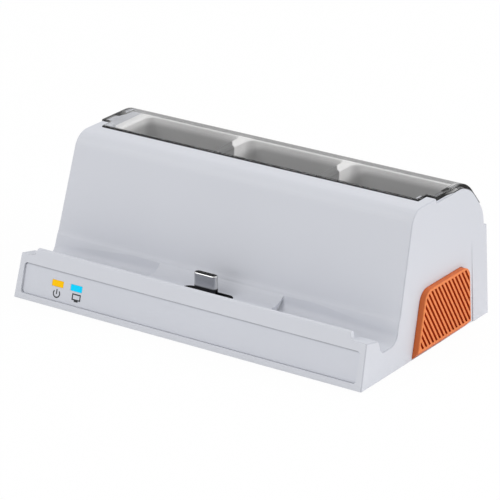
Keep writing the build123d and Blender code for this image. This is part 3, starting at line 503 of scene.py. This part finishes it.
# %% Shaded tray
SHADED_FRONT = TRAY_HIGH.y - 9.8 * MM  # in front of it the dividers get painted shade, at their middles
FRONT_SLANT = 1.46  # how far that line moves forward for each unit to the right across a divider
FRONT_TOP = 1.0 * MM  # depth down to which the painted shade on the tops reaches
SHADED_HALF = TRAY_HIGH.x - 4.0 * MM  # distance from the middle past which the end rims stay white
TRAY_WHITE = (0.98, 0.97, 0.965)
# painted shade in the bays and on the dividers' front halves, darker on those tops
BAY_SHADE = (0.17, 0.17, 0.172)
DIVIDER_TOP_SHADE = (0.09, 0.09, 0.091)


def shaded_front(tree, x, y):
    """Mask of the painted shade on the tray's front, between its two end rims."""
    across = folded(tree, joined(tree, "ADD", x, BAY_PITCH / 2), BAY_PITCH)
    across = joined(tree, "MAXIMUM", across, -DIVIDER_HALF)
    across = joined(tree, "MINIMUM", across, DIVIDER_HALF)
    behind = joined(tree, "ADD", y, joined(tree, "MULTIPLY", across, FRONT_SLANT))
    front = eased(tree, behind, SHADED_FRONT + CRISP, SHADED_FRONT - CRISP)
    middle = joined(tree, "ABSOLUTE", x, 0.0)
    return joined(tree, "MULTIPLY", front, eased(tree, middle, SHADED_HALF + CRISP, SHADED_HALF - CRISP))


def make_bay_shade_group():
    """Masks of the painted shade in the bays and on the dividers' front tops, from Object coordinates."""
    group = bpy.data.node_groups.new("painted_bay_shade", "ShaderNodeTree")
    for name in ("Mask", "Front Tops"):
        group.interface.new_socket(name, in_out="OUTPUT", socket_type="NodeSocketFloat")
    leave = group.nodes.new("NodeGroupOutput")
    x, y, z = axes(group)
    depth = joined(group, "SUBTRACT", TRAY_HIGH.z, z)
    front = shaded_front(group, x, y)
    tops = joined(group, "MULTIPLY", front, eased(group, depth, FRONT_TOP + CRISP, FRONT_TOP - CRISP))
    mask = joined(group, "MAXIMUM", shaded_bays(group, x, depth), front)
    group.links.new(mask, leave.inputs["Mask"])
    group.links.new(tops, leave.inputs["Front Tops"])
    return group


BAY_SHADE_GROUP = make_bay_shade_group()


def bay_shade_mask(name):
    """Function that gives one of the painted shade group's masks."""
    return lambda tree: add_node(tree, "ShaderNodeGroup", node_tree=BAY_SHADE_GROUP).outputs[name]


tray_layers = [(BAY_SHADE, bay_shade_mask("Mask")), (DIVIDER_TOP_SHADE, bay_shade_mask("Front Tops"))]
finishes["shaded_tray"] = moulded("shaded_tray", TRAY_WHITE, 0.5, layers=tray_layers)
print("tray's rim at", round(TRAY_HIGH.z / MM, 2), "mm")

# %% [markdown]
# The lid is smoked clear plastic. On the real lid the flat top looks almost clear while its cut edges
# are nearly black, because light that enters an edge runs a long way inside the sheet. A tint on the
# surface can't do that, so the smoke is an absorption inside the volume. The sloping back and the thick
# webs over the end walls are seen nearly edge on, through much more plastic than the sheet's
# thickness, so there the surface is tinted as well. Rays that only carry light to the tray pass
# straight through, which keeps the tray's light smooth.

# %% Smoked clear plastic
SMOKE_DENSITY = 18.0
SMOKE = (0.03, 0.03, 0.035, 1.0)
LID_ROUGHNESS = 0.02
LID_IOR = 1.49  # of clear acrylic
CLEAR = (1.0, 1.0, 1.0)
LID_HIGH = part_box("lid")[1]
SLOPE = LID_HIGH.y - 9.55 * MM, LID_HIGH.y - 7.55 * MM  # where the back's tint begins and is full
SLOPE_TINT = (0.7, 0.7, 0.7)
ENDS = LID_HIGH.x - 2.0 * MM, LID_HIGH.x - 1.4 * MM  # where the end webs' tint begins and is full
ENDS_TINT = (0.25, 0.25, 0.25)


def lid_tint(tree):
    """Colour of the lid's surface: clear, with tinted back and ends."""
    x, y, _ = axes(tree)
    back = drifting(tree, eased(tree, y, *SLOPE), CLEAR, SLOPE_TINT)
    return covered(tree, back, ENDS_TINT, eased(tree, joined(tree, "ABSOLUTE", x, 0.0), *ENDS))


def smoked_clear():
    """Polished clear sheet with absorption inside; rays that carry light pass straight through."""
    material, tree, shader = start_material("smoked_clear")
    tree.links.new(lid_tint(tree), shader.inputs["Base Color"])
    shader.inputs["Roughness"].default_value = LID_ROUGHNESS
    shader.inputs["IOR"].default_value = LID_IOR
    shader.inputs["Transmission Weight"].default_value = 1.0
    smoke = add_node(tree, "ShaderNodeVolumeAbsorption", Color=SMOKE, Density=SMOKE_DENSITY)
    tree.links.new(smoke.outputs["Volume"], tree.nodes["Material Output"].inputs["Volume"])
    path = add_node(tree, "ShaderNodeLightPath")
    lighting = joined(tree, "MAXIMUM", path.outputs["Is Shadow Ray"], path.outputs["Is Diffuse Ray"])
    straight = add_node(tree, "ShaderNodeBsdfTransparent")
    mixed(tree, lighting, shader.outputs["BSDF"], straight.outputs["BSDF"])
    return material


finishes["smoked_clear"] = smoked_clear()
print("smoke density per metre:", SMOKE_DENSITY)

# %% [markdown]
# The two light windows are small translucent lenses, dyed right through. They look bright and even, so
# a little of the colour comes from inside the lens as light.

# %% Light windows
LENS_ROUGHNESS = 0.4
LENS_SPECULAR = 0.1
LENS_GLOW = 0.12
LENS_DRIFT = 400.0  # scale of the drift of tone, on so small a piece
LENS_DARK = 0.95  # share of the colour in its darkest tone


def lens(name, colour):
    """Dyed lens with an even inner glow."""
    material, tree, shader = start_material(name)
    shader.inputs["Roughness"].default_value = LENS_ROUGHNESS
    shader.inputs["Specular IOR Level"].default_value = LENS_SPECULAR
    shader.inputs["Emission Strength"].default_value = LENS_GLOW
    grain_node = add_node(tree, "ShaderNodeGroup", node_tree=GRAIN)
    grain_node.inputs["Drift Scale"].default_value = LENS_DRIFT
    dark = [channel * LENS_DARK for channel in colour]
    tone = drifting(tree, grain_node.outputs["Tone"], dark, colour)
    tree.links.new(tone, shader.inputs["Base Color"])
    tree.links.new(tone, shader.inputs["Emission Color"])
    return material


finishes["amber_window"] = lens("amber_window", (0.96, 0.54, 0.0))
finishes["blue_window"] = lens("blue_window", (0.0, 0.64, 0.97))
print("lenses:", [name for name in finishes if name.endswith("window")])

# %% [markdown]
# The plug and the sockets are drawn and plated sheet metal, with fine lines along the way they were
# drawn: a noise that is stretched along one axis. The plug stands in a black slot and its foot mirrors
# it. That slot is too narrow for a few mirrored rays to find, so the foot is simply darkened by its
# height.

# %% Metals
PLUG_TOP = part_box("plug_shell")[1].z
# painted reflection of the slot on the plug's foot
FOOT_SHADE = PLUG_TOP - 3.8 * MM, PLUG_TOP - 4.4 * MM  # where the plug mirrors the slot, and is black
UPRIGHT_LINES = (6000.0, 6000.0, 300.0)
REARWARD_LINES = (6000.0, 300.0, 6000.0)
METAL_DARK = 0.94  # share of the colour in the darkest lines
LINE_ROUGHNESS = 0.04  # how far the lines move the roughness


def near_slot(tree):
    """1 at the foot of the plug, 0 from a little above it."""
    return eased(tree, axes(tree)[2], *FOOT_SHADE)


def metal(name, colour, roughness, lines=UPRIGHT_LINES, dark_foot=None):
    """Metal with fine lines along one direction; dark_foot gives a mask where it is black."""
    material, tree, shader = start_material(name)
    shader.inputs["Metallic"].default_value = 1.0
    place = add_node(tree, "ShaderNodeTexCoord")
    stretch = add_node(tree, "ShaderNodeMapping", Scale=lines)
    noise = add_node(tree, "ShaderNodeTexNoise", Scale=1.0, Detail=2.0)
    tree.links.new(place.outputs["Object"], stretch.inputs["Vector"])
    tree.links.new(stretch.outputs["Vector"], noise.inputs["Vector"])
    dark = [channel * METAL_DARK for channel in colour]
    tone = drifting(tree, noise.outputs["Fac"], dark, colour)
    if dark_foot:
        tone = covered(tree, tone, SLOT_BLACK, dark_foot(tree))
    tree.links.new(tone, shader.inputs["Base Color"])
    smoothest, roughest = roughness - LINE_ROUGHNESS, roughness + LINE_ROUGHNESS
    tree.links.new(ranged(tree, noise.outputs["Fac"], smoothest, roughest), shader.inputs["Roughness"])
    return material


metals = {
    "plug_metal": metal("plug_metal", (0.6, 0.6, 0.6), 0.2, dark_foot=near_slot),
    "socket_metal": metal("socket_metal", (0.6, 0.6, 0.61), 0.28, REARWARD_LINES),
    "contact_gold": metal("contact_gold", (0.8, 0.55, 0.2), 0.25),
    "steel": metal("steel", (0.5, 0.5, 0.51), 0.32),
    "spring_steel": metal("spring_steel", (0.42, 0.42, 0.44), 0.3),
    "capacitor_can": metal("capacitor_can", (0.7, 0.7, 0.71), 0.25),
}
finishes.update(metals)
print("metals:", list(metals))

# %% [markdown]
# ## Painted masks
#
# Now the masks that the body and the pads read are painted. On a pad the mask is painted shade in the
# grooves, and part of the same darker colour on the outer sides. A pad's faces are sorted by how deep
# they lie below the tops of the ribs: the tops themselves, the grooves, and the outer sides of the pad,
# which are deeper than any groove. The ends of the dock lean in as they rise, so the depth is measured
# from a face with that lean.

# %% Grooves of the pads
END_LEAN = tan(radians(2.87))  # lean of the end faces that the pads sit on
RIB_DEPTH = 0.4 * MM  # down to which a face still counts as the top of a rib
GROOVE_DEPTH = 1.3 * MM  # down to which it counts as part of a groove
# share of the grooves' darker colour that the pads' outer sides get
SIDE_SHADE = 0.45


def end_reach(place):
    """How far out a place lies towards the nearer end, with the end's lean taken off."""
    return abs(place.x) + place.z * END_LEAN


def paint_grooves(mesh):
    """Painted shade on a pad's faces, from their depth below the ribs."""
    layer = mesh.loops.layers.float.new("groove")
    outside = max(end_reach(vert.co) for vert in mesh.verts)
    for face in mesh.faces:
        deepest = outside - min(end_reach(vert.co) for vert in face.verts)
        if deepest < RIB_DEPTH:
            shade = 0.0
        else:
            shade = 1.0 if deepest < GROOVE_DEPTH else SIDE_SHADE
        for loop in face.loops:
            loop[layer] = shade


print("pads: ribs down to", round(RIB_DEPTH / MM, 2), "mm, grooves to", round(GROOVE_DEPTH / MM, 2))

# %% [markdown]
# On the body, a bevel that gets painted shade is a face close to the end of the dock that doesn't lie
# flat in the end face. A wall of the slot, painted near black, is an upright face close round the plug's
# carrier.

# %% Bevels and slot of the body
EDGE_REACH = 0.35 * MM
FLAT_ON = 0.95  # a face that points further along X than this lies in the end face
CARRIER_LOW, CARRIER_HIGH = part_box("plug_carrier")
SLOT_ROOM = 1.5 * MM  # round the plug's carrier
SLOT_WALL = 0.3  # most that a slot wall's direction points up or down


def in_slot(face, middle):
    """Whether a face of the body is a wall of the slot that the plug's carrier sits in."""
    lows = [CARRIER_LOW[axis] - SLOT_ROOM < middle[axis] for axis in (0, 1)]
    highs = [middle[axis] < CARRIER_HIGH[axis] + SLOT_ROOM for axis in (0, 1)]
    return all(lows + highs) and abs(face.normal.z) < SLOT_WALL


def paint_body(mesh):
    """Masks of the narrow bevels' painted shade round the end faces, and of the slot's walls painted near
    black.
    """
    edge, slot = (mesh.loops.layers.float.new(name) for name in ("edge", "slot"))
    outside = max(end_reach(vert.co) for vert in mesh.verts)
    for face in mesh.faces:
        middle = face.calc_center_median()
        near_end = outside - end_reach(middle) < EDGE_REACH
        bevel, wall = near_end and abs(face.normal.x) < FLAT_ON, in_slot(face, middle)
        for loop in face.loops:
            loop[edge], loop[slot] = float(bevel), float(wall)


PAINTERS = {"left_side_pad": paint_grooves, "right_side_pad": paint_grooves, "housing": paint_body}
print("painted pieces:", list(PAINTERS))

# %% [markdown]
# ## Smooth skins
#
# The CAD nodes arrive as loose flat triangles, so a rounded edge shows its facets. A node itself is left
# alone: each piece is a copy of its mesh with the doubles merged, shaded smooth up to an angle, and
# with normals weighted by face area, so that large flat faces stay flat and the narrow fillets between
# them carry the turn. Each skin rides on the body that its node belongs to and wears its slot's finish.

# %% Dress the nodes
SMOOTH_ANGLE = radians(30.0)
FINE_ANGLE = radians(12.0)  # for pieces whose shallow creases have to stay crisp
FINE_NODES = ("housing", "lid", "card_tray", "left_side_pad", "right_side_pad")
MERGE = 0.0005 * MM
FINISH_OF = {"card_tray": "shaded_tray"}  # where it isn't the slot's own
bodies = frame["record"]["behaviour"]["bodies"]
body_of = {node: body for body, nodes in bodies.items() for node in nodes}
slot_of = {part["node"]: part["material_slot"] for part in frame["record"]["subparts"]}


def link_piece(name, mesh, body, slot, finish=None):
    """Piece for a finished bmesh, riding on a body and wearing a slot's finish or another one."""
    piece = as_object(name, mesh)
    piece.data.materials.append(finishes[finish or slot])
    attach(piece, body)
    return piece


def smooth_piece(piece, angle):
    """Smooth shading up to an angle, with area-weighted normals."""
    piece.data.shade_smooth()
    piece.data.set_sharp_from_angle(angle=angle)
    weigh = piece.modifiers.new("weighted_normals", "WEIGHTED_NORMAL")
    weigh.keep_sharp = True


def merged_copy(node):
    """Bmesh copy of a CAD node with its doubles merged."""
    mesh = bmesh.new()
    mesh.from_mesh(frame["nodes"][node].data)
    bmesh.ops.remove_doubles(mesh, verts=mesh.verts, dist=MERGE)
    return mesh


def dress_node(node):
    """Smooth copy of a CAD node that stands for it."""
    mesh = merged_copy(node)
    if node in PAINTERS:
        PAINTERS[node](mesh)
    piece = link_piece(f"{node}_skin", mesh, body_of[node], slot_of[node], FINISH_OF.get(node))
    smooth_piece(piece, FINE_ANGLE if node in FINE_NODES else SMOOTH_ANGLE)
    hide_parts(node)
    return piece


skins = {node: dress_node(node) for node in frame["nodes"]}
print("dressed nodes:", len(skins))

# %% [markdown]
# ## Printed signs
#
# Under each light window the fascia has a small printed sign: the usual ring with a bar for power, and a
# screen on a foot for the picture. Print is a film of ink with no thickness to speak of, so each sign
# is flat. It is drawn in millimetres round the origin, with Y up, facing Z. The ring is one short edge
# spun round the middle as far as its opening. The screen is one face whose border is inset and whose
# inside is then taken out. The bars are single faces.

# %% Drawing the signs
STROKE = 0.4
RING = 1.2  # radius of the middle of the power ring's stroke
RING_GAP = radians(46.0)  # half of the opening at its top
RING_STEPS = 40
SCREEN = 3.3, 2.1
FOOT = 1.5, 0.45


def lay_bar(mesh, left, right, low, high, placing=Matrix()):
    """One flat face between two places across and two places up."""
    middle = Matrix.Translation(((left + right) / 2, (low + high) / 2, 0.0))
    shape = placing @ middle @ Matrix.Diagonal((right - left, high - low, 1.0, 1.0))
    made = bmesh.ops.create_grid(mesh, x_segments=1, y_segments=1, size=0.5, matrix=shape)
    return made["verts"][0].link_faces[0]


def draw_power(mesh):
    """Open ring with a bar in its opening."""
    start = Vector((sin(RING_GAP), cos(RING_GAP), 0.0))
    ends = [mesh.verts.new(start * radius) for radius in (RING - STROKE / 2, RING + STROKE / 2)]
    geom = [*ends, mesh.edges.new(ends)]
    round_to_gap = 2.0 * (pi - RING_GAP)
    bmesh.ops.spin(
        mesh, geom=geom, cent=(0, 0, 0), axis=(0, 0, -1), angle=round_to_gap, steps=RING_STEPS
    )
    lay_bar(mesh, -STROKE / 2, STROKE / 2, -STROKE / 2, RING + STROKE / 2)


def draw_display(mesh):
    """Outline of a screen on a foot."""
    width, height = SCREEN
    inside = lay_bar(mesh, -width / 2, width / 2, -height / 2, height / 2)
    bmesh.ops.inset_region(
        mesh, faces=[inside], thickness=STROKE, use_boundary=True, use_even_offset=True
    )
    bmesh.ops.delete(mesh, geom=[inside], context="FACES_ONLY")
    lay_bar(mesh, -FOOT[0] / 2, FOOT[0] / 2, -height / 2 - FOOT[1], -height / 2)


print("signs: ring", 2 * RING + STROKE, "mm across, screen", SCREEN[0], "mm wide")

# %% [markdown]
# A sign is then laid on the fascia, which leans back. The fascia's largest front face gives the
# direction outwards, and the upward direction in the face follows from that. With the direction across
# they are the columns of a matrix that turns the drawing, brings it to metres and sets it just off the
# face, below its window.

# %% Printing the signs
INK_LIFT = 0.02 * MM
ACROSS = Vector((1.0, 0.0, 0.0))
POWER_DROP = 3.15  # below the middle of its window, in millimetres
DISPLAY_DROP = 2.75
DISPLAY_SHIFT = 0.4


def on_fascia(window, drop, shift):
    """Matrix that lays a drawing on the fascia, dropped below a window and shifted along it."""
    faces = frame["nodes"]["front_fascia"].data.polygons
    front = max((face for face in faces if face.normal.y < 0.0), key=lambda face: face.area)
    outward = front.normal.copy()
    up = Vector((0.0, outward.z, -outward.y))
    low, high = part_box(window)
    middle = (low + high) / 2
    middle -= outward * (middle - front.center).dot(outward)
    start = middle + (ACROSS * shift - up * drop) * MM + outward * INK_LIFT
    turn = Matrix((ACROSS, up, outward)).transposed().to_4x4()
    return Matrix.Translation(start) @ turn @ Matrix.Scale(MM, 4)


def print_sign(name, draw, window, drop, shift=0.0):
    """Flat ink below a window, all its faces turned outwards."""
    mesh = bmesh.new()
    draw(mesh)
    mesh.normal_update()
    bmesh.ops.reverse_faces(mesh, faces=[face for face in mesh.faces if face.normal.z < 0.0])
    bmesh.ops.transform(mesh, matrix=on_fascia(window, drop, shift), verts=mesh.verts)
    return link_piece(name, mesh, "dock", "black_plastic", "sign_ink")


finishes["sign_ink"] = moulded("sign_ink", (0.035, 0.036, 0.04), 0.6, drift=0.1, specular=0.2)
signs = [
    print_sign("power_sign", draw_power, "power_light_window", POWER_DROP),
    print_sign("display_sign", draw_display, "display_light_window", DISPLAY_DROP, DISPLAY_SHIFT),
]
print("signs:", [(piece.name, len(piece.data.polygons)) for piece in signs])

# %% [markdown]
# ## Cross recesses
#
# The base is held by four screws whose heads face down. A driver needs a cross in each head. Seen from
# outside it is only a cross in shade, so a flat cross of three bars is laid just under each head, with a
# dark steel that is painted shade. The screws are one node, so its mesh is first taken apart into its
# connected islands, and each island's box gives the place.

# %% Cross recesses
CROSS_ARM = 1.0 * MM
CROSS_HALF = 0.22 * MM  # half of a bar's width
CROSS_DROP = 0.01 * MM
CROSS_BARS = (  # left, right, low and high
    (-CROSS_ARM, CROSS_ARM, -CROSS_HALF, CROSS_HALF),
    (-CROSS_HALF, CROSS_HALF, CROSS_HALF, CROSS_ARM),
    (-CROSS_HALF, CROSS_HALF, -CROSS_ARM, -CROSS_HALF),
)


def islands(mesh):
    """Groups of a bmesh's vertices that hang together, in the order of their first vertices."""
    seen = set()
    for first in mesh.verts:
        if first in seen:
            continue
        group, rim = set(), {first}
        while rim:
            group |= rim
            rim = {edge.other_vert(vert) for vert in rim for edge in vert.link_edges} - group
        seen |= group
        yield group


def under_head(group):
    """Matrix that lays a drawing face down under the middle of a screw's vertices."""
    x, y, z = ([vert.co[axis] for vert in group] for axis in range(3))
    place = (min(x) + max(x)) / 2, (min(y) + max(y)) / 2, min(z) - CROSS_DROP
    return Matrix.Translation(place) @ Matrix.Rotation(pi, 4, "X")


# dark steel as painted shade, for the inside of a cross recess
finishes["recess_shade_steel"] = metal("recess_shade_steel", (0.06, 0.06, 0.065), 0.5)
screws, crosses = merged_copy("base_screws"), bmesh.new()
for screw in islands(screws):
    for bar in CROSS_BARS:
        lay_bar(crosses, *bar, placing=under_head(screw))
screws.free()
cross_piece = link_piece("screw_crosses", crosses, "dock", "steel", "recess_shade_steel")
print("cross faces:", len(cross_piece.data.polygons))
